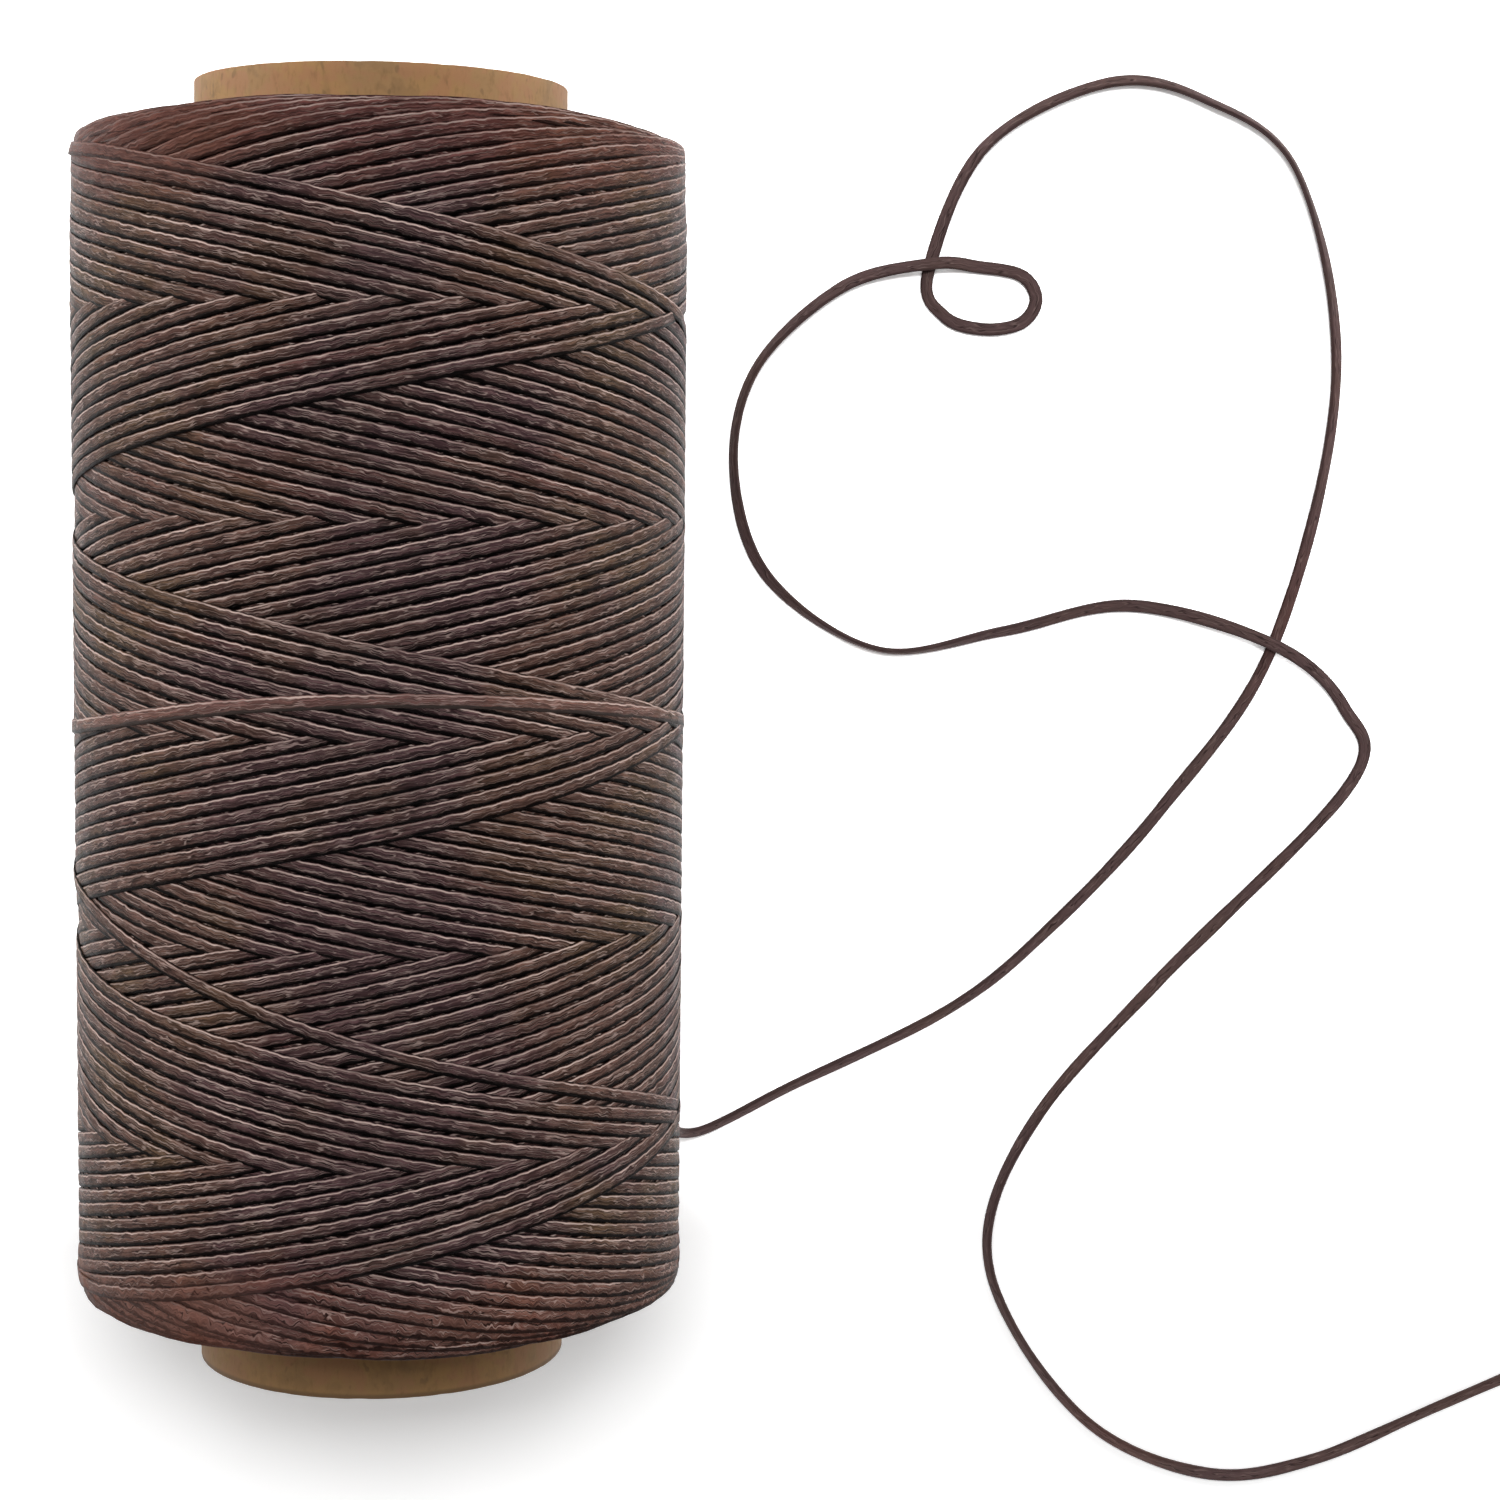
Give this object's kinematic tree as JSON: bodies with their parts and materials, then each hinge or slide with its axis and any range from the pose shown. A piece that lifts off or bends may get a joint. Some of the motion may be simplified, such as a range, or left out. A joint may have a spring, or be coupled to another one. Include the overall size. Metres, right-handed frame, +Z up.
{
  "type": "waxed thread spool",
  "caption": "Paper tube wound crosswise with flat waxed sewing thread, lying on its side with the thread's end trailing over the table; the bore goes on a spindle.",
  "frame": {"origin": "on the table, under the middle of the tube, as the spool lies on its side", "axes": "+Y along the tube towards the end with the shorter bare rim, +Z up, +X to the side on which the thread leaves"},
  "size_m": [0.1615, 0.153, 0.0564],
  "materials": {
    "tube_liner": "raw board",
    "tube_board": "raw cut board",
    "tube_wrap": "smooth kraft paper",
    "wound_thread": "waxed polyester thread, in shade",
    "outer_turns": "waxed polyester thread",
    "loose_thread": "waxed polyester thread"
  },
  "bodies": {
    "root": {"tube_liner": "tube_liner", "tube_board": "tube_board", "tube_wrap": "tube_wrap", "wound_thread": "wound_thread", "outer_turns": "outer_turns", "loose_thread": "loose_thread"}
  },
  "joints": []
}
